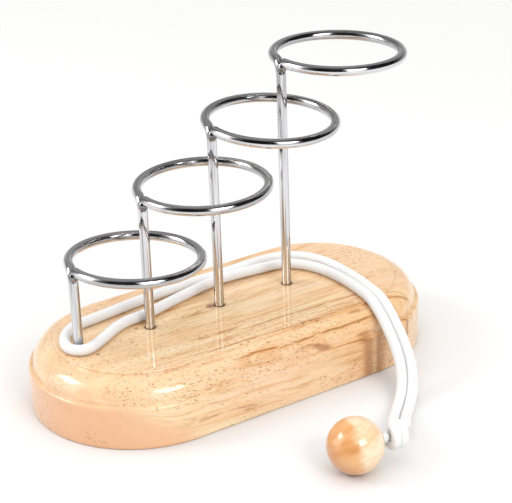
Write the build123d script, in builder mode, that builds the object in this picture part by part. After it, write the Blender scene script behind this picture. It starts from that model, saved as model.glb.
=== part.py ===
"""Rope-and-rings puzzle: a rounded wooden base, four wire loops of rising height, and a cord with a ball.

Millimetres. The origin is the middle of the base's underside, +X runs along the base towards the tallest
loop, +Y points away from the side where the ball lies, and +Z points up.
"""
from build123d import *
from math import cos, pi, radians, sin, tan
import os

os.makedirs("parts", exist_ok=True)

# ---- driving dimensions ----
base_length = 141.0
base_width = 71.5
base_height = 22.5
edge_radius = 7.0  # quarter round that runs along the top edge
edge_lip = 1.0  # upright step between the quarter round and the flat top
edge_ledge = 1.5  # flat step between the quarter round and the side wall
foot_round = 1.0  # small round along the bottom edge
wall_round = 0.6  # small round where the side wall meets the ledge
lip_round = 0.4  # small round along the edge of the flat top

wire_diameter = 3.2
ring_radius = 21.0  # to the middle of the wire
bend_radius = 4.5  # where the post turns over into the ring
bend_heading = radians(16)  # which way the post turns over, measured from +Y towards +X
ring_turn = radians(345)  # how far round the ring the wire goes; its end is welded to the bend
weld_radius = 1.7  # bead that joins the wire's end to the bend
weld_drop = 1.2
socket_depth = 12.0
socket_gap = 0.03  # glue film round each post in its socket

post_xs = (-55.9, -29.9, -3.4, 23.7)  # drilled by hand, so the row isn't quite even
post_row_y = 0.5
ring_heights = (27.2, 44.3, 61.4, 78.0)  # each ring above the base's top, at its post
ring_droops = (3.2, -0.2, 2.4, 1.5)  # degrees that each ring sinks towards +X
ring_rolls = (-1.7, -0.2, 2.6, -0.3)  # degrees that each ring rises towards +Y

ball_diameter = 17.5
ball_x = -7.6
ball_y = -79.3
ball_hole_heading = -10.0  # degrees from +X, the way the ball's hole faces
ball_hole_radius = 2.4
ball_hole_depth = 9.0

cord_diameter = 3.5
cord_play = 0.05  # gap between the lying cord and what it lies on
knot_radius = 4.6
knot_tail_radius = 2.2  # glued end of the cord, inside the ball
knot_tail_reach = 12.0

# ---- sizes that follow ----
wire_radius = wire_diameter / 2
cord_radius = cord_diameter / 2
ball_radius = ball_diameter / 2
wall_height = base_height - edge_lip - edge_radius
half_width = base_width / 2
half_flat = half_width - edge_ledge - edge_radius
end_x = base_length / 2 - half_width  # middle of each rounded end
on_top = base_height + cord_radius + cord_play

hole_way = Vector(cos(radians(ball_hole_heading)), sin(radians(ball_hole_heading)), 0)
ball_centre = Vector(ball_x, ball_y, ball_radius)
knot_centre = ball_centre + hole_way * (ball_radius + knot_radius)

# ---- the cord's route: from the ball along the front strand, round the first post and back ----
over_edge = on_top + 0.7
lifted = on_top + 0.5
cord_route = [
    (6.8, -78.6, 8.7),
    (12.0, -72.6, 7.0),
    (17.5, -66.0, 3.4),
    (24.2, -59.3, 1.8),
    (30.1, -54.0, 3.2),
    (33.3, -49.8, 8.0),
    (34.8, -44.4, 14.2),
    (36.2, -36.8, 19.3),
    (36.9, -28.0, over_edge),
    (38.1, -18.7, on_top),
    (40.1, -8.6, on_top),
    (41.0, 0.2, on_top),
    (39.0, 6.6, on_top),
    (34.5, 10.5, on_top),
    (28.5, 11.8, on_top),
    (20.6, 12.6, on_top),
    (11.2, 13.0, lifted),
    (2.2, 13.2, lifted),
    (-7.2, 11.6, on_top),
    (-17.0, 9.2, on_top),
    (-27.5, 6.2, on_top),
    (-38.0, 5.5, on_top),
    (-47.7, 1.2, on_top),
    (-55.8, -4.2, on_top),
    (-60.4, 0.0, on_top),
    (-57.1, 8.1, on_top),
    (-51.2, 13.1, on_top),
    (-42.0, 13.9, on_top),
    (-31.0, 15.5, on_top),
    (-19.5, 16.7, on_top),
    (-7.5, 17.4, on_top),
    (3.0, 17.1, on_top),
    (12.3, 17.2, on_top),
    (21.4, 17.7, on_top),
    (29.6, 17.3, on_top),
    (37.4, 15.0, on_top),
    (42.8, 8.9, on_top),
    (44.8, 0.7, on_top),
    (43.7, -9.2, on_top),
    (41.7, -19.3, on_top),
    (40.6, -28.4, over_edge),
    (39.8, -37.2, 19.3),
    (38.4, -45.2, 14.2),
    (36.5, -51.4, 8.0),
    (32.7, -56.4, 3.2),
    (26.8, -61.9, 1.8),
    (20.1, -68.4, 3.4),
    (14.8, -75.0, 7.0),
    (9.4, -81.2, 8.7),
]
# the cord bends over this upright plane when its free end is swung round the base
cord_break = Plane(origin=(42.0, -3.0, 0), z_dir=(1, -2, 0))


def corner_radii(route):
    """The largest arc that each corner of the route has room for."""
    points = [Vector(*p) for p in route]
    radii = []
    for before, here, after in zip(points, points[1:], points[2:]):
        came, goes = here - before, after - here
        turn = radians(came.get_angle(goes))
        radii.append(0.45 * min(came.length, goes.length) / tan(turn / 2))
    return radii


def half_section():
    """Half of the base's section, from its middle line out to its side, for the sketch that is open."""
    foot = (half_width, 0)
    wall_top = (half_width, wall_height)
    ledge_end = (half_flat + edge_radius, wall_height)
    lip_foot = (half_flat, wall_height + edge_radius)
    lip_top = (half_flat, base_height)
    with BuildSketch(mode=Mode.PRIVATE) as section:
        with BuildLine():
            Polyline((0, base_height), (0, 0), foot, wall_top, ledge_end)
            RadiusArc(ledge_end, lip_foot, -edge_radius)
            Polyline(lip_foot, lip_top, (0, base_height))
        make_face()
        for corner, radius in ((foot, foot_round), (wall_top, wall_round), (lip_top, lip_round)):
            fillet(section.vertices().sort_by_distance(corner)[0], radius)
    return section.sketch


# ---- base ----
with BuildPart() as base:
    with BuildSketch(Plane.YZ):
        add(half_section())
        mirror(about=Plane.YZ)
    extrude(amount=end_x, both=True)
    for x in (-end_x, end_x):
        with BuildSketch(Plane(origin=(x, 0, 0), x_dir=(1, 0, 0), z_dir=(0, -1, 0))):
            add(half_section())
        revolve(axis=Axis((x, 0, 0), (0, 0, 1)), revolution_arc=360)
    with Locations(*[(x, post_row_y, base_height) for x in post_xs]):
        Hole(radius=wire_radius + socket_gap, depth=socket_depth)
base.part.label = "base"
export_step(base.part, "parts/base.step")

# ---- wire loops: each is one wire, a post that bends over into a ring ----
for number, (x, height, droop, roll) in enumerate(zip(post_xs, ring_heights, ring_droops, ring_rolls), 1):
    foot = Vector(x, post_row_y, base_height - socket_depth)
    corner = Vector(x, post_row_y, base_height + height)
    ring_up = Vector(tan(radians(droop)), -tan(radians(roll)), 1).normalized()
    rise = -(sin(bend_heading) * ring_up.X + cos(bend_heading) * ring_up.Y) / ring_up.Z
    ahead = Vector(sin(bend_heading), cos(bend_heading), rise).normalized()
    across = ahead.cross(ring_up)
    reach = bend_radius * tan(radians(Vector(0, 0, 1).get_angle(ahead)) / 2)
    bend_start = corner - Vector(0, 0, reach)
    bend_end = corner + ahead * reach
    inward = (bend_start + bend_end) * 0.5 - corner
    bend_middle_gap = (bend_radius**2 + reach**2) ** 0.5 - bend_radius
    bend_middle = corner + inward.normalized() * bend_middle_gap
    ring_centre = bend_end + across * ring_radius

    def on_ring(turn):
        """A point of the ring's centreline, so far round from the bend."""
        return ring_centre + (ahead * sin(turn) - across * cos(turn)) * ring_radius

    with BuildPart() as wire_loop:
        with BuildLine() as wire_line:
            Line(foot, bend_start)
            ThreePointArc(bend_start, bend_middle, bend_end)
            ThreePointArc(bend_end, on_ring(ring_turn / 2), on_ring(ring_turn))
        with BuildSketch(Plane(origin=foot, z_dir=(0, 0, 1))):
            Circle(wire_radius)
        sweep(path=wire_line.line)
        with Locations(corner - (ahead + Vector(0, 0, 1)) * weld_drop):
            Sphere(weld_radius)
    wire_loop.part.label = f"wire_loop_{number}"
    export_step(wire_loop.part, f"parts/wire_loop_{number}.step")
    print(f"wire_loop_{number}: ring centre {ring_centre}")

# ---- cord: one tube, cut where it bends when the free end is moved ----
radii = corner_radii(cord_route)
print("cord corner radii:", [round(r, 1) for r in radii])
with BuildLine() as cord_line:
    FilletPolyline(*cord_route, radius=radii)
cord_length = sum(edge.length for edge in cord_line.edges())
with BuildPart() as cord_on_base:
    with BuildSketch(Plane(origin=cord_line.line @ 0, z_dir=cord_line.line % 0)):
        Circle(cord_radius)
    sweep(path=cord_line.line)
    tube_volume = cord_on_base.part.volume
    split(bisect_by=cord_break, keep=Keep.BOTTOM)
cord_on_base.part.label = "cord_on_base"
export_step(cord_on_base.part, "parts/cord_on_base.step")

with BuildPart() as cord_end:
    with BuildSketch(Plane(origin=cord_line.line @ 0, z_dir=cord_line.line % 0)):
        Circle(cord_radius)
    sweep(path=cord_line.line)
    split(bisect_by=cord_break, keep=Keep.TOP)
cord_end.part.label = "cord_end"
export_step(cord_end.part, "parts/cord_end.step")
print(f"cord: {cord_length:.1f} mm long, tube {tube_volume / (pi * cord_radius**2 * cord_length):.4f} of its section x length")

# ---- knot, with the glued end that goes into the ball ----
knot_plane = Plane(origin=knot_centre, x_dir=-hole_way, z_dir=(0, 0, 1))
with BuildPart() as cord_knot:
    with BuildSketch(knot_plane):
        with Locations((knot_tail_reach / 2, knot_tail_radius / 2)):
            Rectangle(knot_tail_reach, knot_tail_radius)
        Circle(knot_radius)
        with Locations((0, -knot_radius)):
            Rectangle(knot_radius * 4, knot_radius * 2, mode=Mode.SUBTRACT)
    revolve(axis=Axis(knot_centre, -hole_way), revolution_arc=360)
cord_knot.part.label = "cord_knot"
export_step(cord_knot.part, "parts/cord_knot.step")

# ---- ball, with a blind hole for the cord's glued end ----
with BuildPart() as ball:
    with BuildSketch(Plane(origin=ball_centre, x_dir=hole_way, z_dir=(0, 0, 1))):
        Circle(ball_radius)
        with Locations((ball_radius, 0)):
            Rectangle(ball_hole_depth * 2, ball_hole_radius * 2, mode=Mode.SUBTRACT)
        with Locations((0, -ball_radius)):
            Rectangle(ball_radius * 4, ball_radius * 2, mode=Mode.SUBTRACT)
    revolve(axis=Axis(ball_centre, hole_way), revolution_arc=360)
ball.part.label = "ball"
export_step(ball.part, "parts/ball.step")
print(f"ball centre {ball_centre}, knot centre {knot_centre}, rounded end middle x {end_x}")
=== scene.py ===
"""The looks of the rope-and-rings puzzle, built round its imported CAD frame.

Metres, in the CAD model's frame: the base stands on z = 0, +X runs along it towards the tallest loop, and the
ball lies on the -Y side. Sizes are written in millimetres and multiplied by MM.
"""

import math

import bmesh
import bpy
from mathutils import Matrix, Vector, noise


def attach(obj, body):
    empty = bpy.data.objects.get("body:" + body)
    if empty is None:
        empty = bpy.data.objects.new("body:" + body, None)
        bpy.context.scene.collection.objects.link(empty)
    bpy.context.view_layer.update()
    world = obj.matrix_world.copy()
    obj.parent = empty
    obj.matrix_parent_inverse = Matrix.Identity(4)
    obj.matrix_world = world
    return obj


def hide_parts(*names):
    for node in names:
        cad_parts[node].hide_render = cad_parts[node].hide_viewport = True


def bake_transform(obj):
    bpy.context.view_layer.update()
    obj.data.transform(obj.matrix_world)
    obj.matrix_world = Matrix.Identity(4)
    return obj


MM = 0.001
CREASE_ANGLE = math.radians(40)

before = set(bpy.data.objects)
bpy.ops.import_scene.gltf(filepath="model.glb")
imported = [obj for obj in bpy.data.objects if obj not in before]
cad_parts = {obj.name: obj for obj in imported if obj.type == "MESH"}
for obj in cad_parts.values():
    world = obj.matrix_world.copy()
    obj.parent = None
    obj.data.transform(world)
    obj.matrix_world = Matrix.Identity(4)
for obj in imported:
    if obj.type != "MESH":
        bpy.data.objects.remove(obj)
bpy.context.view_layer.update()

# ---- sizes, in millimetres ----
BASE_LENGTH, BASE_WIDTH, BASE_HEIGHT = 141.0, 71.5, 22.5
EDGE_RADIUS = 7.0
EDGE_LIP = 1.0
EDGE_LEDGE = 1.5
HALF_WIDTH = BASE_WIDTH / 2
END_X = BASE_LENGTH / 2 - HALF_WIDTH
WALL_HEIGHT = BASE_HEIGHT - EDGE_LIP - EDGE_RADIUS

WIRE_RADIUS = 1.6
RING_RADIUS = 21.0
BEND_RADIUS = 4.5
BEND_HEADING = math.radians(16)
RING_TURN = math.radians(345)
WELD_RADIUS = 1.7
WELD_DROP = 1.2
SOCKET_DEPTH = 12.0
SOCKET_RADIUS = 1.66
POST_ROW_Y = 0.5
POST_XS = (-55.9, -29.9, -3.4, 23.7)
RING_HEIGHTS = (27.2, 44.3, 61.4, 78.0)
RING_DROOPS = (3.2, -0.2, 2.4, 1.5)
RING_ROLLS = (-1.7, -0.2, 2.6, -0.3)

BALL_RADIUS = 8.75
BALL_CENTRE = Vector((-7.6, -79.3, BALL_RADIUS))
HOLE_HEADING = math.radians(-10)
HOLE_WAY = Vector((math.cos(HOLE_HEADING), math.sin(HOLE_HEADING), 0))
HOLE_RADIUS = 2.4
HOLE_DEPTH = 9.0
KNOT_RADIUS = 4.6
KNOT_CENTRE = BALL_CENTRE + HOLE_WAY * (BALL_RADIUS + KNOT_RADIUS)

# the room's light, and the softboxes that mirrors see: middle, width, lowest and highest in degrees, strength
ROOM_LIGHT = 0.32
CEILING_LIGHT = 1.20
MIRRORED_SOFTBOXES = (
    (-6, 36, -4, 62, 2.2),
    (-119, 46, -4, 56, 2.0),
)

CORD_RADIUS = 1.75
ON_TOP = BASE_HEIGHT + CORD_RADIUS + 0.05
LIFTED = ON_TOP + 0.5
# the cord's control points: from the knot along its front strand, round the first post and back
CORD_ROUTE = [
    (6.8, -78.6, 8.7),
    (12.0, -72.6, 7.0),
    (17.5, -66.0, 3.4),
    (24.2, -59.3, 1.8),
    (30.1, -54.0, 3.2),
    (33.3, -49.8, 8.0),
    (34.6, -45.5, 12.9),
    (35.5, -41.0, 16.6),
    (36.3, -36.0, 20.2),
    (36.8, -31.5, 22.9),
    (37.2, -27.0, 24.4),
    (37.8, -22.0, ON_TOP),
    (38.5, -16.0, ON_TOP),
    (38.5, -9.0, ON_TOP),
    (37.6, -1.4, ON_TOP),
    (35.4, 4.8, ON_TOP),
    (32.2, 9.0, ON_TOP),
    (28.5, 11.8, ON_TOP),
    (20.6, 12.6, ON_TOP),
    (11.2, 13.0, LIFTED),
    (2.2, 13.2, LIFTED),
    (-7.2, 11.6, ON_TOP),
    (-17.0, 9.2, ON_TOP),
    (-27.5, 6.2, ON_TOP),
    (-38.0, 5.5, ON_TOP),
    (-47.7, -0.4, ON_TOP),
    (-55.8, -4.7, ON_TOP),
    (-60.4, 0.0, ON_TOP),
    (-57.1, 8.4, ON_TOP),
    (-51.2, 13.1, ON_TOP),
    (-42.0, 13.9, ON_TOP),
    (-31.0, 15.5, ON_TOP),
    (-19.5, 16.7, ON_TOP),
    (-7.5, 17.4, ON_TOP),
    (3.0, 17.1, ON_TOP),
    (12.3, 17.2, ON_TOP),
    (21.4, 17.7, ON_TOP),
    (29.6, 17.3, ON_TOP),
    (35.8, 14.5, ON_TOP),
    (40.2, 8.8, ON_TOP),
    (42.4, 1.0, ON_TOP),
    (42.6, -8.6, ON_TOP),
    (42.3, -15.8, ON_TOP),
    (41.4, -22.0, ON_TOP),
    (40.8, -27.2, 24.4),
    (40.4, -31.8, 22.9),
    (39.9, -36.3, 20.2),
    (39.1, -41.3, 16.6),
    (38.3, -45.8, 12.9),
    (36.5, -51.4, 8.0),
    (32.7, -56.4, 3.2),
    (26.8, -61.9, 1.8),
    (20.1, -68.4, 3.4),
    (14.8, -75.0, 7.0),
    (9.4, -81.2, 8.7),
]


# ---- camera ----
def add_camera():
    """The view: from the front left, a little above, and rolled slightly."""
    azimuth, elevation, roll = math.radians(-33.09), math.radians(24.44), math.radians(-2.0)
    back = Vector((
        math.sin(azimuth) * math.cos(elevation),
        -math.cos(azimuth) * math.cos(elevation),
        math.sin(elevation),
    ))
    right = Vector((0, 0, 1)).cross(back).normalized()
    turned = Matrix((right, back.cross(right), back)).transposed() @ Matrix.Rotation(roll, 3, "Z")
    data = bpy.data.cameras.new("camera")
    data.lens = 114.54
    data.clip_start, data.clip_end = 0.01, 50
    camera = bpy.data.objects.new("camera", data)
    camera.matrix_world = Matrix.Translation((-0.25657, -0.41126, 0.26094)) @ turned.to_4x4()
    bpy.context.scene.collection.objects.link(camera)
    bpy.context.scene.camera = camera


# ---- mesh helpers ----
def new_object(name, bm, material):
    """A smooth-shaded object of a bmesh, with creases where its faces meet at more than CREASE_ANGLE."""
    bmesh.ops.recalc_face_normals(bm, faces=bm.faces)
    mesh = bpy.data.meshes.new(name)
    bm.to_mesh(mesh)
    bm.free()
    mesh.polygons.foreach_set("use_smooth", [True] * len(mesh.polygons))
    mesh.set_sharp_from_angle(angle=CREASE_ANGLE)
    mesh.materials.append(material)
    obj = bpy.data.objects.new(name, mesh)
    bpy.context.scene.collection.objects.link(obj)
    return obj


def smooth_line(points, resolution=12):
    """Points along the NURBS spline that has these control points."""
    curve = bpy.data.curves.new("route", "CURVE")
    curve.dimensions = "3D"
    curve.resolution_u = resolution
    spline = curve.splines.new("NURBS")
    spline.points.add(len(points) - 1)
    for point, place in zip(spline.points, points):
        point.co = (*place, 1)
    spline.order_u = 3
    spline.use_endpoint_u = True
    holder = bpy.data.objects.new("route", curve)
    bpy.context.scene.collection.objects.link(holder)
    mesh = bpy.data.meshes.new_from_object(holder)
    line = [v.co.copy() for v in mesh.vertices]
    bpy.data.meshes.remove(mesh)
    bpy.data.objects.remove(holder)
    bpy.data.curves.remove(curve)
    return line


def add_tube(bm, line, radius, sides, cap_round=0.0):
    """Adds a closed tube along a line to bm. Its UV runs once round across and by its girth along."""
    uv = bm.loops.layers.uv.verify()
    tangents = []
    for k in range(len(line)):
        before, after = line[max(k - 1, 0)], line[min(k + 1, len(line) - 1)]
        tangents.append((after - before).normalized())
    side = tangents[0].orthogonal().normalized()
    stations = [(line[0], tangents[0], side, radius)]
    for k in range(1, len(line)):
        side = (tangents[k - 1].rotation_difference(tangents[k]) @ side).normalized()
        stations.append((line[k], tangents[k], side, radius))
    if cap_round:
        first, last = stations[0], stations[-1]
        steps = 4
        for k in range(1, steps + 1):
            out = cap_round * math.sin(math.pi / 2 * k / steps)
            less = radius - cap_round * (1 - math.cos(math.pi / 2 * k / steps))
            stations.insert(0, (first[0] - first[1] * out, first[1], first[2], less))
            stations.append((last[0] + last[1] * out, last[1], last[2], less))
    rings, along, travelled = [], [], 0.0
    for k, (centre, tangent, side, size) in enumerate(stations):
        if k:
            travelled += (centre - stations[k - 1][0]).length
        along.append(travelled / (math.tau * radius))
        other = tangent.cross(side)
        ring = []
        for n in range(sides):
            turn = math.tau * n / sides
            ring.append(bm.verts.new(centre + (side * math.cos(turn) + other * math.sin(turn)) * size))
        rings.append(ring)
    for k in range(len(rings) - 1):
        for n in range(sides):
            m = (n + 1) % sides
            face = bm.faces.new((rings[k][n], rings[k][m], rings[k + 1][m], rings[k + 1][n]))
            places = ((n, k), (n + 1, k), (n + 1, k + 1), (n, k + 1))
            for loop, (across, row) in zip(face.loops, places):
                loop[uv].uv = (across / sides, along[row])
    bm.faces.new(rings[0])
    bm.faces.new(rings[-1])


def lathe(name, profile, origin, axis, material, steps=96):
    """A solid turned about an axis. The profile is (distance along, radius), from one end to the other."""
    side = Vector((0, 0, 1)) if abs(axis.z) < 0.9 else Vector((1, 0, 0))
    side = side.cross(axis).normalized()
    other = axis.cross(side)
    bm = bmesh.new()
    rings = []
    for along, radius in profile:
        centre = origin + axis * along
        if radius < 1e-9:
            rings.append([bm.verts.new(centre)])
            continue
        ring = []
        for n in range(steps):
            turn = math.tau * n / steps
            ring.append(bm.verts.new(centre + (side * math.cos(turn) + other * math.sin(turn)) * radius))
        rings.append(ring)
    for low, high in zip(rings, rings[1:]):
        for n in range(steps):
            m = (n + 1) % steps
            corners = [low[n % len(low)], low[m % len(low)], high[m % len(high)], high[n % len(high)]]
            bm.faces.new(list(dict.fromkeys(corners)))
    return new_object(name, bm, material)


def cut_away(obj, cutter):
    """Cuts the cutter out of obj and deletes it."""
    modifier = obj.modifiers.new("cut", "BOOLEAN")
    modifier.operation = "DIFFERENCE"
    modifier.solver = "EXACT"
    modifier.object = cutter
    bake_modifiers(obj)
    bpy.data.objects.remove(cutter)


def bake_modifiers(obj):
    """Replaces obj's mesh by what its modifiers make of it."""
    bpy.context.view_layer.update()
    graph = bpy.context.evaluated_depsgraph_get()
    mesh = bpy.data.meshes.new_from_object(obj.evaluated_get(graph))
    obj.modifiers.clear()
    obj.data = mesh


# ---- shader helpers ----
class Shader:
    """A material's node tree, with short ways to add and link nodes."""

    def __init__(self, name):
        self.material = bpy.data.materials.new(name)
        self.material.use_nodes = True
        self.nodes = self.material.node_tree.nodes
        self.links = self.material.node_tree.links
        self.surface = self.nodes["Principled BSDF"]

    def put(self, socket, value):
        """Links an output to a socket, or sets its value."""
        if isinstance(value, bpy.types.NodeSocket):
            self.links.new(value, socket)
        elif value is not None:
            socket.default_value = value

    def set(self, **values):
        """Sets or links the surface's sockets: base_color is Base Color."""
        for name, value in values.items():
            title = name.replace("_", " ").title().replace("Ior", "IOR")
            self.put(self.surface.inputs[title], value)

    def math(self, operation, a, b=None, c=None):
        node = self.nodes.new("ShaderNodeMath")
        node.operation = operation
        for socket, value in zip(node.inputs, (a, b, c)):
            self.put(socket, value)
        return node.outputs[0]

    def place(self, scale=(1, 1, 1), turn=(0, 0, 0), shift=(0, 0, 0), source=None):
        """Texture coordinates, in the object's own metres unless source is given."""
        if source is None:
            source = self.nodes.new("ShaderNodeTexCoord").outputs["Object"]
        node = self.nodes.new("ShaderNodeMapping")
        node.inputs["Location"].default_value = shift
        node.inputs["Rotation"].default_value = turn
        node.inputs["Scale"].default_value = scale
        self.links.new(source, node.inputs["Vector"])
        return node.outputs[0]

    def axes(self, place):
        """The three coordinates of a place, each on its own."""
        split = self.nodes.new("ShaderNodeSeparateXYZ")
        self.links.new(place, split.inputs[0])
        return split.outputs

    def point(self, *values):
        """A place made of up to three coordinates."""
        joined = self.nodes.new("ShaderNodeCombineXYZ")
        for socket, value in zip(joined.inputs, values):
            self.put(socket, value)
        return joined.outputs[0]

    def noise(self, place, scale=1.0, detail=2.0, roughness=0.5, distortion=0.0):
        node = self.nodes.new("ShaderNodeTexNoise")
        self.links.new(place, node.inputs["Vector"])
        node.inputs["Scale"].default_value = scale
        node.inputs["Detail"].default_value = detail
        node.inputs["Roughness"].default_value = roughness
        node.inputs["Distortion"].default_value = distortion
        return node.outputs["Fac"]

    def steps(self, value, low, high, start=0.0, end=1.0):
        """Maps low..high smoothly to start..end."""
        node = self.nodes.new("ShaderNodeMapRange")
        node.interpolation_type = "SMOOTHSTEP"
        for name, number in (("From Min", low), ("From Max", high), ("To Min", start), ("To Max", end)):
            node.inputs[name].default_value = number
        self.put(node.inputs["Value"], value)
        return node.outputs[0]

    def mix(self, factor, a, b):
        node = self.nodes.new("ShaderNodeMix")
        node.data_type = "RGBA"
        self.put(node.inputs[0], factor)
        self.put(node.inputs[6], a)
        self.put(node.inputs[7], b)
        return node.outputs[2]

    def bump(self, height, strength, distance):
        node = self.nodes.new("ShaderNodeBump")
        node.inputs["Strength"].default_value = strength
        node.inputs["Distance"].default_value = distance
        self.put(node.inputs["Height"], height)
        return node.outputs[0]


def rgb(red, green, blue):
    return (red, green, blue, 1.0)


def growth_radius(s, place, heart):
    """Distances from the log's heart, which lies heart metres across the grain, and along the grain."""
    sway = s.noise(s.place(source=place, scale=(9, 26, 26)), detail=2)
    x, y, z = s.axes(place)
    across = s.math("SUBTRACT", y, heart[0])
    deep = s.math("SUBTRACT", z, heart[1])
    radius = s.math("SQRT", s.math("ADD", s.math("MULTIPLY", across, across), s.math("MULTIPLY", deep, deep)))
    return s.math("MULTIPLY_ADD", sway, 0.012, radius), x


def layers(s, radius, along, per_metre, stretch, shift=0.0, detail=3.0):
    """Noise that changes fast from one growth layer to the next, and slowly along the grain."""
    place = s.point(s.math("MULTIPLY_ADD", radius, per_metre, shift), s.math("MULTIPLY", along, stretch))
    return s.noise(place, detail=detail, roughness=0.55)


def pore_cells(s, place, scale, shift=(0, 0, 0)):
    """Cells with a pore in the middle of each: the distance from it, and the cell's random colour."""
    cells = s.nodes.new("ShaderNodeTexVoronoi")
    cells.inputs["Scale"].default_value = 1.0
    s.links.new(s.place(source=place, scale=scale, shift=shift), cells.inputs["Vector"])
    return cells.outputs["Distance"], cells.outputs["Color"]


def vessels(s, place, crowding):
    """Short dark pores, long and fine ones: dashes along the grain, dots on its end."""
    away, colour = pore_cells(s, place, (330, 1000, 1000))
    shade = s.nodes.new("ShaderNodeSeparateColor")
    s.links.new(colour, shade.inputs[0])
    pore = s.math("MULTIPLY", s.steps(away, 0.13, 0.30, 1.0, 0.0), s.steps(shade.outputs[0], 0.05, 0.85))
    crowd = s.noise(s.place(source=place, scale=(20, 75, 75), shift=(1, 5, 3)), detail=2)
    crowd = s.math("ADD", crowd, crowding)
    pore = s.math("MULTIPLY", pore, s.steps(crowd, 0.42, 0.60))
    away, _ = pore_cells(s, place, (520, 1700, 1700), (4, 2, 6))
    fine_pore = s.math("MULTIPLY", s.steps(away, 0.12, 0.36, 0.8, 0.0), s.steps(crowd, 0.46, 0.66))
    return s.math("MAXIMUM", pore, fine_pore)


def vein(s, along, depth, middle, start, end):
    """A thin dark streak, middle metres across the grain and from start to end along it, and its stain."""
    wander = s.noise(s.point(s.math("MULTIPLY_ADD", along, 22, middle * 9000)), detail=3)
    away = s.math("SUBTRACT", depth, middle)
    away = s.math("MULTIPLY_ADD", s.math("SUBTRACT", wander, 0.5), 0.006, away)
    away = s.math("ABSOLUTE", away)
    broken = s.noise(s.point(s.math("MULTIPLY", along, 190), s.math("MULTIPLY", depth, 900)), detail=3)
    strength = s.steps(broken, 0.30, 0.55)
    strength = s.math("MULTIPLY", strength, s.steps(along, start, start + 0.012))
    strength = s.math("MULTIPLY", strength, s.steps(along, end - 0.012, end, 1.0, 0.0))
    thin = s.math("MULTIPLY", s.steps(away, 0.00008, 0.00045, 1.0, 0.0), strength)
    soft = s.math("MULTIPLY", s.steps(away, 0.0002, 0.0013, 0.42, 0.0), strength)
    return thin, soft


def dark_lines(s, radius, along):
    """Long thin streaks, broken up along their length, and the softer stain beside them."""
    away = s.math("ABSOLUTE", s.math("SUBTRACT", layers(s, radius, along, 260, 14, 5, 2), 0.5))
    where = s.steps(layers(s, radius, along, 70, 22, 9, 1), 0.47, 0.60)
    broken = s.steps(layers(s, radius, along, 900, 160, 2, 2), 0.36, 0.56)
    thin = s.math("MULTIPLY", s.steps(away, 0.004, 0.030, 1.0, 0.0), where)
    soft = s.math("MULTIPLY", s.steps(away, 0.010, 0.110, 1.0, 0.0), where)
    return s.math("MULTIPLY", s.math("MULTIPLY", thin, broken), 0.75), s.math("MULTIPLY", soft, 0.30)


def near_line(s, x, y, inner, outer):
    """1 within the inner distance of an upright line, in millimetres, falling to 0 at the outer one."""
    place = s.place(scale=(1, 1, 0), shift=(-x * MM, -y * MM, 0))
    node = s.nodes.new("ShaderNodeVectorMath")
    node.operation = "LENGTH"
    s.links.new(place, node.inputs[0])
    return s.steps(node.outputs["Value"], inner * MM, outer * MM, 1.0, 0.0)


def finish_wood(s, colour, pore, fibre):
    """Sets the wood's surface under a glossy clear lacquer."""
    hollow = s.math("MULTIPLY_ADD", pore, -1.0, s.math("MULTIPLY", fibre, 0.25))
    ripple = s.noise(s.place(scale=(55, 55, 55)), detail=1)
    s.set(
        base_color=colour,
        roughness=s.steps(fibre, 0.3, 0.7, 0.38, 0.52),
        specular_ior_level=0.3,
        normal=s.bump(hollow, 0.25, 0.00012),
        coat_weight=1.0,
        coat_roughness=0.03,
        coat_ior=1.6,
        coat_normal=s.bump(s.math("MULTIPLY_ADD", pore, -0.02, ripple), 0.06, 0.0015),
    )


# streaks along the base's front, in metres: where each is across the grain, its start and its end
VEINS = (
    (-0.0262, -0.030, 0.062),
    (-0.0318, -0.022, 0.066),
    (-0.0345, 0.000, 0.060),
    (-0.0195, -0.012, 0.050),
)
# brown spots on the base's top, in millimetres: x, y and radius
STAINS = (
    (-6.3, 1.4, 2.3),
    (-52.6, -5.6, 0.9),
    (-34.0, 2.4, 0.8),
)


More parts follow.
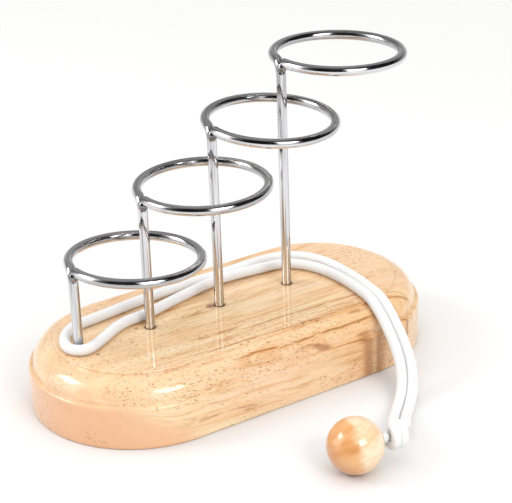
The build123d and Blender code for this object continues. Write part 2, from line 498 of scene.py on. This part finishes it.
def base_wood():
    """Lacquered rubberwood: yellow and peach bands, fine fibres, many short pores and brown streaks."""
    s = Shader("lacquered rubberwood")
    place = s.place(turn=(0, math.radians(-2), math.radians(3)))
    radius, along = growth_radius(s, place, (0.045, -0.05))
    bands = layers(s, radius, along, 230, 3)
    threads = layers(s, radius, along, 1300, 55, 4, 2)
    fibre = s.noise(s.place(source=place, scale=(22, 900, 900)), detail=4, roughness=0.6)
    x, y, z = s.axes(s.place())
    calm = s.math("MULTIPLY", s.steps(x, -0.055, -0.020, 0.12, 1.0), s.steps(x, 0.042, 0.058, 1.0, 0.15))
    cloud = s.noise(s.place(source=place, scale=(14, 40, 40)), detail=2)
    warm = s.noise(s.place(source=place, scale=(9, 28, 28), shift=(2, 7, 4)), detail=2)

    colour = s.mix(s.steps(bands, 0.36, 0.66), rgb(0.88, 0.69, 0.43), rgb(0.84, 0.56, 0.32))
    colour = s.mix(s.steps(warm, 0.42, 0.64, 0.0, 0.60), colour, rgb(0.88, 0.57, 0.37))
    colour = s.mix(s.steps(cloud, 0.40, 0.72, 0.0, 0.35), colour, rgb(0.82, 0.57, 0.27))
    threads = s.math("MULTIPLY", s.steps(threads, 0.46, 0.70, 0.0, 0.62), calm)
    colour = s.mix(threads, colour, rgb(0.68, 0.33, 0.10))
    colour = s.mix(s.steps(fibre, 0.42, 0.72, 0.0, 0.26), colour, rgb(0.62, 0.34, 0.15))

    low_end = s.math("SUBTRACT", s.math("MULTIPLY", x, -1.0), s.math("MULTIPLY", z, 1.6))
    low_end = s.math("MULTIPLY_ADD", cloud, 0.02, low_end)
    low_end = s.steps(low_end, 0.034, 0.050, 0.0, 0.80)
    low_end = s.math("MULTIPLY", low_end, s.steps(z, 0.0125, 0.0160, 1.0, 0.12))
    colour = s.mix(low_end, colour, rgb(0.80, 0.42, 0.22))

    thin, soft = dark_lines(s, radius, along)
    colour = s.mix(s.math("MULTIPLY", soft, calm), colour, rgb(0.78, 0.38, 0.11))
    colour = s.mix(s.math("MULTIPLY", thin, calm), colour, rgb(0.42, 0.16, 0.03))
    slant = s.math("MULTIPLY_ADD", x, 0.02, y)
    for middle, start, end in VEINS:
        thin, soft = vein(s, x, slant, middle, start, end)
        colour = s.mix(soft, colour, rgb(0.74, 0.34, 0.09))
        colour = s.mix(s.math("MULTIPLY", thin, 0.8), colour, rgb(0.34, 0.12, 0.02))
    crowding = s.math("MULTIPLY", s.steps(x, -0.066, -0.050), s.steps(x, -0.010, 0.030, 1.0, 0.0))
    crowding = s.math("MULTIPLY", crowding, s.steps(z, 0.011, 0.016))
    crowding = s.math("MULTIPLY", crowding, s.steps(y, -0.020, -0.006, 0.30, 0.0))
    pore = vessels(s, place, crowding)
    colour = s.mix(s.math("MULTIPLY", pore, 0.78), colour, rgb(0.36, 0.16, 0.05))
    # A darker brown ring round each post's foot, over the socket's broken edge.
    for foot_x in POST_XS:
        ring = near_line(s, foot_x, POST_ROW_Y, WIRE_RADIUS, WIRE_RADIUS + 1.3)
        colour = s.mix(s.math("MULTIPLY", ring, 0.5), colour, rgb(0.25, 0.10, 0.03))
    for stain_x, stain_y, size in STAINS:
        spot = near_line(s, stain_x, stain_y, 0.3 * size, size)
        colour = s.mix(s.math("MULTIPLY", spot, 0.8), colour, rgb(0.24, 0.07, 0.015))
    finish_wood(s, colour, pore, fibre)
    return s.material


def ball_wood():
    """The ball's lacquered wood: orange wood, a pale side with a swirled edge that is a painted reflection,
    and painted shade on its lower left.
    """
    s = Shader("lacquered ball wood")
    place = s.place(turn=(0, math.radians(25), math.radians(20)))
    radius, along = growth_radius(s, place, (-0.09, -0.02))
    bands = layers(s, radius, along, 260, 4)
    fibre = s.noise(s.place(source=place, scale=(40, 900, 900)), detail=4, roughness=0.6)
    swirl = s.noise(s.place(scale=(110, 110, 260)), detail=3, roughness=0.55, distortion=0.6)

    # The pale side faces the camera's right and up: a painted reflection, swirled at its edge like wood.
    turn = math.radians(34)
    turned_centre = Matrix.Rotation(turn, 3, "Z") @ (BALL_CENTRE * MM)
    sideways, _, height = s.axes(s.place(turn=(0, 0, turn), shift=tuple(-turned_centre)))
    tilted = s.math("MULTIPLY_ADD", height, 0.25, sideways)
    pale_reflection_side = s.steps(s.math("MULTIPLY_ADD", s.math("SUBTRACT", swirl, 0.5), 0.012, tilted), -0.0015, 0.0030)
    heart = s.mix(s.steps(bands, 0.36, 0.66), rgb(0.80, 0.42, 0.17), rgb(0.68, 0.29, 0.09))
    pale_wood_with_reflection = s.mix(s.steps(bands, 0.36, 0.66), rgb(0.90, 0.72, 0.50), rgb(0.84, 0.58, 0.34))
    colour = s.mix(pale_reflection_side, heart, pale_wood_with_reflection)
    # Painted shade: the wood darkens towards the ball's lower left.
    shade = s.steps(s.math("ADD", tilted, s.math("MULTIPLY", height, 0.6)), -0.0105, -0.0020, 0.75, 0.0)
    colour = s.mix(shade, colour, rgb(0.52, 0.20, 0.06))
    colour = s.mix(s.steps(fibre, 0.42, 0.72, 0.0, 0.28), colour, rgb(0.56, 0.26, 0.08))
    pore = vessels(s, place, s.steps(pale_reflection_side, 0.0, 1.0, 0.02, -0.10))
    colour = s.mix(s.math("MULTIPLY", pore, 0.55), colour, rgb(0.34, 0.14, 0.05))
    finish_wood(s, colour, pore, fibre)
    return s.material


def chrome():
    """Bright plating on drawn wire: dark and light streaks along it that are painted reflections, a little
    haze, and painted shade in the crease round each weld bead.
    """
    s = Shader("chrome plating")
    around, along, _ = s.axes(s.nodes.new("ShaderNodeTexCoord").outputs["UV"])
    turn = s.math("MULTIPLY", around, math.tau)
    wrapped = s.point(s.math("COSINE", turn), s.math("SINE", turn), s.math("MULTIPLY", along, 0.12))
    painted_reflection_streaks = s.noise(wrapped, scale=1.9, detail=3, roughness=0.45)
    haze = s.noise(s.place(scale=(420, 420, 420)), detail=3)
    # Painted reflections: the streaks darken and lighten the plating's colour along the wire, as dark and
    # bright surroundings would.
    shade = s.mix(s.steps(painted_reflection_streaks, 0.38, 0.60), rgb(0.34, 0.335, 0.34), rgb(0.74, 0.735, 0.75))
    shade = s.mix(s.steps(haze, 0.25, 0.75, 0.0, 0.25), shade, rgb(0.62, 0.61, 0.63))
    # Painted shade: a dark ring in the crease where the weld bead meets the wire.
    weld_crease_shade = s.nodes.new("ShaderNodeAttribute")
    weld_crease_shade.attribute_name = "weld_crease_shade"
    s.set(
        base_color=s.mix(weld_crease_shade.outputs["Fac"], shade, rgb(0.05, 0.045, 0.045)),
        metallic=1.0,
        roughness=s.steps(haze, 0.35, 0.75, 0.07, 0.16),
        normal=s.bump(s.noise(s.place(scale=(900, 900, 900)), detail=2), 0.06, 0.00004),
    )
    return s.material


def braid():
    """Smooth white braided nylon: fine strands that cross in both directions."""
    s = Shader("braided nylon")
    around, along, _ = s.axes(s.nodes.new("ShaderNodeTexCoord").outputs["UV"])
    around = s.math("MULTIPLY", around, math.tau * 12)
    along = s.math("MULTIPLY", along, math.tau * 8)
    one = s.math("SINE", s.math("ADD", around, along))
    two = s.math("SINE", s.math("SUBTRACT", around, along))
    weave = s.math("MAXIMUM", one, two)
    fuzz = s.noise(s.place(scale=(2500, 2500, 2500)), detail=2)
    height = s.math("MULTIPLY_ADD", fuzz, 0.5, weave)
    # The colour darkens where the weave lies low: painted shade in the braid's hollows.
    s.set(
        base_color=s.mix(s.steps(weave, -0.4, 0.7), rgb(0.74, 0.74, 0.735), rgb(0.84, 0.84, 0.835)),
        roughness=0.55,
        specular_ior_level=0.35,
        sheen_weight=0.25,
        sheen_roughness=0.4,
        subsurface_weight=0.15,
        subsurface_scale=0.0012,
        normal=s.bump(height, 0.35, 0.00006),
    )
    return s.material


# ---- the pieces ----
def bent(before, corner, after, size, steps=5):
    """Points of a small curve that rounds a corner of a profile."""
    corner, before, after = Vector(corner), Vector(before), Vector(after)
    start = corner + (before - corner).normalized() * size
    end = corner + (after - corner).normalized() * size
    points = []
    for k in range(steps + 1):
        t = k / steps
        points.append(start * (1 - t) ** 2 + corner * 2 * t * (1 - t) + end * t * t)
    return points


def base_profile():
    """The base's section from underside to top, round its edge: (distance from the middle line, height)."""
    flat = HALF_WIDTH - EDGE_LEDGE - EDGE_RADIUS
    foot = (HALF_WIDTH, 0)
    wall_top = (HALF_WIDTH, WALL_HEIGHT)
    ledge_end = (flat + EDGE_RADIUS, WALL_HEIGHT)
    lip_foot = (flat, BASE_HEIGHT - EDGE_LIP)
    lip_top = (flat, BASE_HEIGHT)
    profile = [(HALF_WIDTH - 1.2, 0)]
    profile += bent((0, 0), foot, wall_top, 1.0)
    profile += [(HALF_WIDTH, 1.2), (HALF_WIDTH, WALL_HEIGHT / 2), (HALF_WIDTH, WALL_HEIGHT - 1.3)]
    profile += bent(foot, wall_top, ledge_end, 1.1, 8)
    profile += bent(wall_top, ledge_end, (ledge_end[0], BASE_HEIGHT), 0.35, 4)
    for degrees in range(6, 87, 5):
        turn = math.radians(degrees)
        profile.append((flat + EDGE_RADIUS * math.cos(turn), WALL_HEIGHT + EDGE_RADIUS * math.sin(turn)))
    profile += bent((HALF_WIDTH, lip_foot[1]), lip_foot, lip_top, 0.3, 4)
    profile += bent(lip_foot, lip_top, (0, BASE_HEIGHT), 0.4)
    profile += [(flat - 0.6, BASE_HEIGHT)]
    return profile


def base_outline(out, height, per_side=24, per_end=72):
    """A closed line round the base, so far out from its middle line."""
    points = []
    for end in (1, -1):
        for k in range(per_side):
            points.append(Vector((end * (2 * END_X * k / per_side - END_X), -end * out, height)))
        for k in range(per_end):
            turn = math.pi * k / per_end - math.pi / 2
            points.append(Vector((end * (END_X + out * math.cos(turn)), end * out * math.sin(turn), height)))
    return points


def socket_cutter():
    """What the drill leaves: four blind holes with slightly broken edges."""
    bm = bmesh.new()
    radii = [(0.5, SOCKET_RADIUS + 0.59), (-0.28, SOCKET_RADIUS), (-SOCKET_DEPTH - 0.2, SOCKET_RADIUS)]
    for x in POST_XS:
        rings = []
        for height, radius in radii:
            centre = Vector((x, POST_ROW_Y, BASE_HEIGHT + height))
            ring = []
            for n in range(48):
                turn = math.tau * n / 48
                out = Vector((math.cos(turn), math.sin(turn), 0)) * radius
                ring.append(bm.verts.new((centre + out) * MM))
            rings.append(ring)
        for low, high in zip(rings, rings[1:]):
            for n in range(48):
                m = (n + 1) % 48
                bm.faces.new((low[n], low[m], high[m], high[n]))
        bm.faces.new(rings[0])
        bm.faces.new(rings[-1])
    return new_object("drill", bm, None)


def make_base(material):
    bm = bmesh.new()
    rings = [[bm.verts.new(p * MM) for p in base_outline(out, height)] for out, height in base_profile()]
    for low, high in zip(rings, rings[1:]):
        for n in range(len(low)):
            m = (n + 1) % len(low)
            bm.faces.new((low[n], low[m], high[m], high[n]))
    bm.faces.new(rings[0])
    bm.faces.new(rings[-1])
    base = new_object("wooden_base", bm, material)
    cut_away(base, socket_cutter())
    base.data.set_sharp_from_angle(angle=CREASE_ANGLE)
    return base


def wire_line(number):
    """The middle line of a wire loop, the place of its weld bead, and the way the ring sets off."""
    foot = Vector((POST_XS[number], POST_ROW_Y, BASE_HEIGHT - SOCKET_DEPTH))
    corner = Vector((foot.x, foot.y, BASE_HEIGHT + RING_HEIGHTS[number]))
    droop, roll = math.radians(RING_DROOPS[number]), math.radians(RING_ROLLS[number])
    ring_up = Vector((math.tan(droop), -math.tan(roll), 1)).normalized()
    heading = Vector((math.sin(BEND_HEADING), math.cos(BEND_HEADING), 0))
    ahead = Vector((heading.x, heading.y, -heading.dot(ring_up) / ring_up.z)).normalized()
    across = ahead.cross(ring_up)
    up = Vector((0, 0, 1))
    bend = up.angle(ahead)
    reach = BEND_RADIUS * math.tan(bend / 2)
    pivot = corner - up * reach + (ahead - up * ahead.dot(up)).normalized() * BEND_RADIUS
    arm = corner - up * reach - pivot
    hinge = up.cross(ahead).normalized()
    line = [foot, foot.lerp(corner, 0.5), corner - up * (reach + 0.3)]
    for k in range(13):
        line.append(pivot + Matrix.Rotation(bend * k / 12, 3, hinge) @ arm)
    centre = line[-1] + across * RING_RADIUS
    ring_steps = 230
    for k in range(1, ring_steps + 1):
        turn = RING_TURN * k / ring_steps
        line.append(centre + (ahead * math.sin(turn) - across * math.cos(turn)) * RING_RADIUS)
    return line, corner - (ahead + up) * WELD_DROP


def make_wire_loop(number, material):
    line, bead_centre = wire_line(number)
    bm = bmesh.new()
    add_tube(bm, [p * MM for p in line], WIRE_RADIUS * MM, 32, cap_round=0.25 * MM)
    loop = new_object(f"chrome_loop_{number + 1}", bm, material)
    bm = bmesh.new()
    bmesh.ops.create_icosphere(bm, subdivisions=4, radius=WELD_RADIUS * MM)
    for v in bm.verts:
        v.co *= 1 + 0.07 * noise.noise(v.co * 900 + Vector((number * 3.1, 0, 0)))
        v.co += bead_centre * MM
    bead = new_object("bead", bm, material)
    modifier = loop.modifiers.new("weld", "BOOLEAN")
    modifier.operation = "UNION"
    modifier.solver = "EXACT"
    modifier.object = bead
    bake_modifiers(loop)
    bpy.data.objects.remove(bead)
    # Painted shade in the crease round the weld bead: strongest just outside the bead's edge.
    weld_crease_shade = loop.data.attributes.new("weld_crease_shade", "FLOAT", "POINT")
    for vertex, value in zip(loop.data.vertices, weld_crease_shade.data):
        gap = abs((vertex.co / MM - bead_centre).length - WELD_RADIUS - 0.1)
        value.value = 0.85 * max(0.0, 1 - gap / 0.45)
    return loop


def make_ball(material):
    profile = []
    mouth = math.asin(HOLE_RADIUS / BALL_RADIUS)
    edge = mouth + 0.035
    steps = 56
    for k in range(steps + 1):
        turn = math.pi - (math.pi - edge) * k / steps
        profile.append((BALL_RADIUS * math.cos(turn), BALL_RADIUS * math.sin(turn)))
    start = Vector(profile[-1])
    rim = Vector((BALL_RADIUS * math.cos(mouth), HOLE_RADIUS))
    for t in (0.25, 0.5, 0.75, 1.0):
        end = rim - Vector((0.3, 0))
        point = start * (1 - t) ** 2 + rim * 2 * t * (1 - t) + end * t * t
        profile.append((point.x, point.y))
    profile += [(BALL_RADIUS - HOLE_DEPTH, HOLE_RADIUS), (BALL_RADIUS - HOLE_DEPTH - 0.9, 0)]
    return lathe("wooden_ball", [(a * MM, r * MM) for a, r in profile], BALL_CENTRE * MM, HOLE_WAY, material)


def make_cord(material):
    """The doubled cord, from the knot round the first post and back."""
    line = smooth_line([Vector(p) * MM for p in CORD_ROUTE], resolution=14)
    bm = bmesh.new()
    add_tube(bm, line, CORD_RADIUS * MM, 32)
    return new_object("white_cord", bm, material), line


def make_knot(material):
    """The knot beside the ball: the cord wound round itself, and its glued end, which goes into the ball."""
    up = Vector((0, 0, 1))
    aside = up.cross(HOLE_WAY)
    points = [KNOT_CENTRE + aside * 2.2 + HOLE_WAY * 2.6 + up * 0.6]
    wraps, steps = 1.75, 18
    for k in range(steps + 1):
        turn = math.tau * wraps * k / steps + math.radians(60)
        reach = 2.75 + 0.25 * math.sin(2 * turn)
        along = 2.3 - 4.4 * k / steps
        points.append(KNOT_CENTRE + HOLE_WAY * along + (up * math.sin(turn) + aside * math.cos(turn)) * reach)
    points += [KNOT_CENTRE + HOLE_WAY * along for along in (-3.6, -5.0, -8.0, -11.5)]
    bm = bmesh.new()
    add_tube(bm, smooth_line([p * MM for p in points], resolution=12), 1.55 * MM, 24, cap_round=0.5 * MM)
    return new_object("cord_knot_turns", bm, material)


# ---- stage ----
def add_floor():
    bm = bmesh.new()
    bmesh.ops.create_grid(bm, x_segments=1, y_segments=1, size=4)
    s = Shader("pale floor")
    tone = s.noise(s.place(scale=(1.5, 1.5, 1.5)), detail=2)
    s.set(
        base_color=s.mix(tone, rgb(0.755, 0.75, 0.745), rgb(0.775, 0.775, 0.775)),
        roughness=0.7,
        specular_ior_level=0.2,
    )
    floor = new_object("floor", bm, s.material)


def add_lamp(name, direction, distance, width, height, power):
    """A softbox that faces the puzzle from a direction."""
    data = bpy.data.lights.new(name, "AREA")
    data.shape = "RECTANGLE"
    data.size, data.size_y = width, height
    data.energy = power
    lamp = bpy.data.objects.new(name, data)
    way = Vector(direction).normalized()
    aim = Vector((0, -0.02, 0.03))
    lamp.location = aim + way * distance
    lamp.rotation_euler = way.to_track_quat("Z", "Y").to_euler()
    bpy.context.scene.collection.objects.link(lamp)


def add_world():
    """A white room that lights softly. Mirrors see two tall softboxes and the dark room between them."""
    world = bpy.data.worlds.new("studio")
    bpy.context.scene.world = world
    world.use_nodes = True
    nodes, links = world.node_tree.nodes, world.node_tree.links
    nodes.clear()

    def math_node(operation, *values):
        node = nodes.new("ShaderNodeMath")
        node.operation = operation
        for socket, value in zip(node.inputs, values):
            if isinstance(value, bpy.types.NodeSocket):
                links.new(value, socket)
            else:
                socket.default_value = value
        return node.outputs[0]

    def between(value, low, high, soft):
        """1 where low < value < high, with soft edges."""
        up = math_node("DIVIDE", math_node("SUBTRACT", value, low), soft)
        down = math_node("DIVIDE", math_node("SUBTRACT", high, value), soft)
        up = math_node("SMOOTH_MAX", 0.0, up, 0.05)
        down = math_node("SMOOTH_MAX", 0.0, down, 0.05)
        return math_node("MINIMUM", 1.0, math_node("MINIMUM", up, down))

    place = nodes.new("ShaderNodeTexCoord")
    split = nodes.new("ShaderNodeSeparateXYZ")
    links.new(place.outputs["Generated"], split.inputs[0])
    x, y, z = split.outputs
    turn = math_node("MULTIPLY", math_node("ARCTAN2", x, math_node("MULTIPLY", y, -1.0)), 180 / math.pi)
    rise = math_node("MULTIPLY", math_node("ARCSINE", z), 180 / math.pi)
    behind = between(math_node("ABSOLUTE", turn), 75, 400, 30)
    back_wall = math_node("MULTIPLY_ADD", between(rise, -90, 14, 16), 0.55, 0.32)
    back_wall = math_node("MULTIPLY", back_wall, behind)
    ceiling = math_node("MULTIPLY", 0.28, between(rise, 55, 200, 30))
    light = math_node("ADD", math_node("MAXIMUM", back_wall, ceiling), 0.015)
    for middle, width, low, high, level in MIRRORED_SOFTBOXES:
        box = between(turn, middle - width / 2, middle + width / 2, 8)
        box = math_node("MULTIPLY", box, between(rise, low, high, 14))
        light = math_node("ADD", light, math_node("MULTIPLY", box, level))

    mirrored = nodes.new("ShaderNodeBackground")
    mirrored.inputs["Color"].default_value = rgb(1, 1, 1)
    links.new(light, mirrored.inputs["Strength"])
    seen = nodes.new("ShaderNodeBackground")
    seen.inputs["Color"].default_value = rgb(1, 1, 1)
    lit = nodes.new("ShaderNodeBackground")
    lit.inputs["Color"].default_value = rgb(1, 1, 1)
    from_above = math_node("MULTIPLY_ADD", math_node("MAXIMUM", z, 0.0), CEILING_LIGHT, ROOM_LIGHT)
    links.new(from_above, lit.inputs["Strength"])
    path = nodes.new("ShaderNodeLightPath")
    for_mirrors = nodes.new("ShaderNodeMixShader")
    links.new(path.outputs["Is Glossy Ray"], for_mirrors.inputs[0])
    links.new(lit.outputs[0], for_mirrors.inputs[1])
    links.new(mirrored.outputs[0], for_mirrors.inputs[2])
    for_camera = nodes.new("ShaderNodeMixShader")
    links.new(path.outputs["Is Camera Ray"], for_camera.inputs[0])
    links.new(for_mirrors.outputs[0], for_camera.inputs[1])
    links.new(seen.outputs[0], for_camera.inputs[2])
    output = nodes.new("ShaderNodeOutputWorld")
    links.new(for_camera.outputs[0], output.inputs[0])


def add_stage():
    add_floor()
    add_world()
    add_lamp("back left softbox", (-0.66, 0.46, 0.58), 1.1, 0.42, 0.30, 2.9)
    add_lamp("front softbox", (0.02, -0.82, 0.57), 1.1, 0.54, 0.36, 4.0)
    bpy.context.scene.view_settings.view_transform = "Standard"


# ---- assembly ----
add_camera()
nylon = braid()
cord, cord_line = make_cord(nylon)
knot = make_knot(nylon)
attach(knot, "cord_free_end")
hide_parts("cord_knot")

base = make_base(base_wood())
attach(base, "stand")
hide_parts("base")

plating = chrome()
for number in range(len(POST_XS)):
    loop = make_wire_loop(number, plating)
    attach(loop, "stand")
    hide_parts(f"wire_loop_{number + 1}")

ball = make_ball(ball_wood())
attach(ball, "ball")
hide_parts("ball")

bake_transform(cord)
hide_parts("cord_on_base", "cord_end")

add_stage()
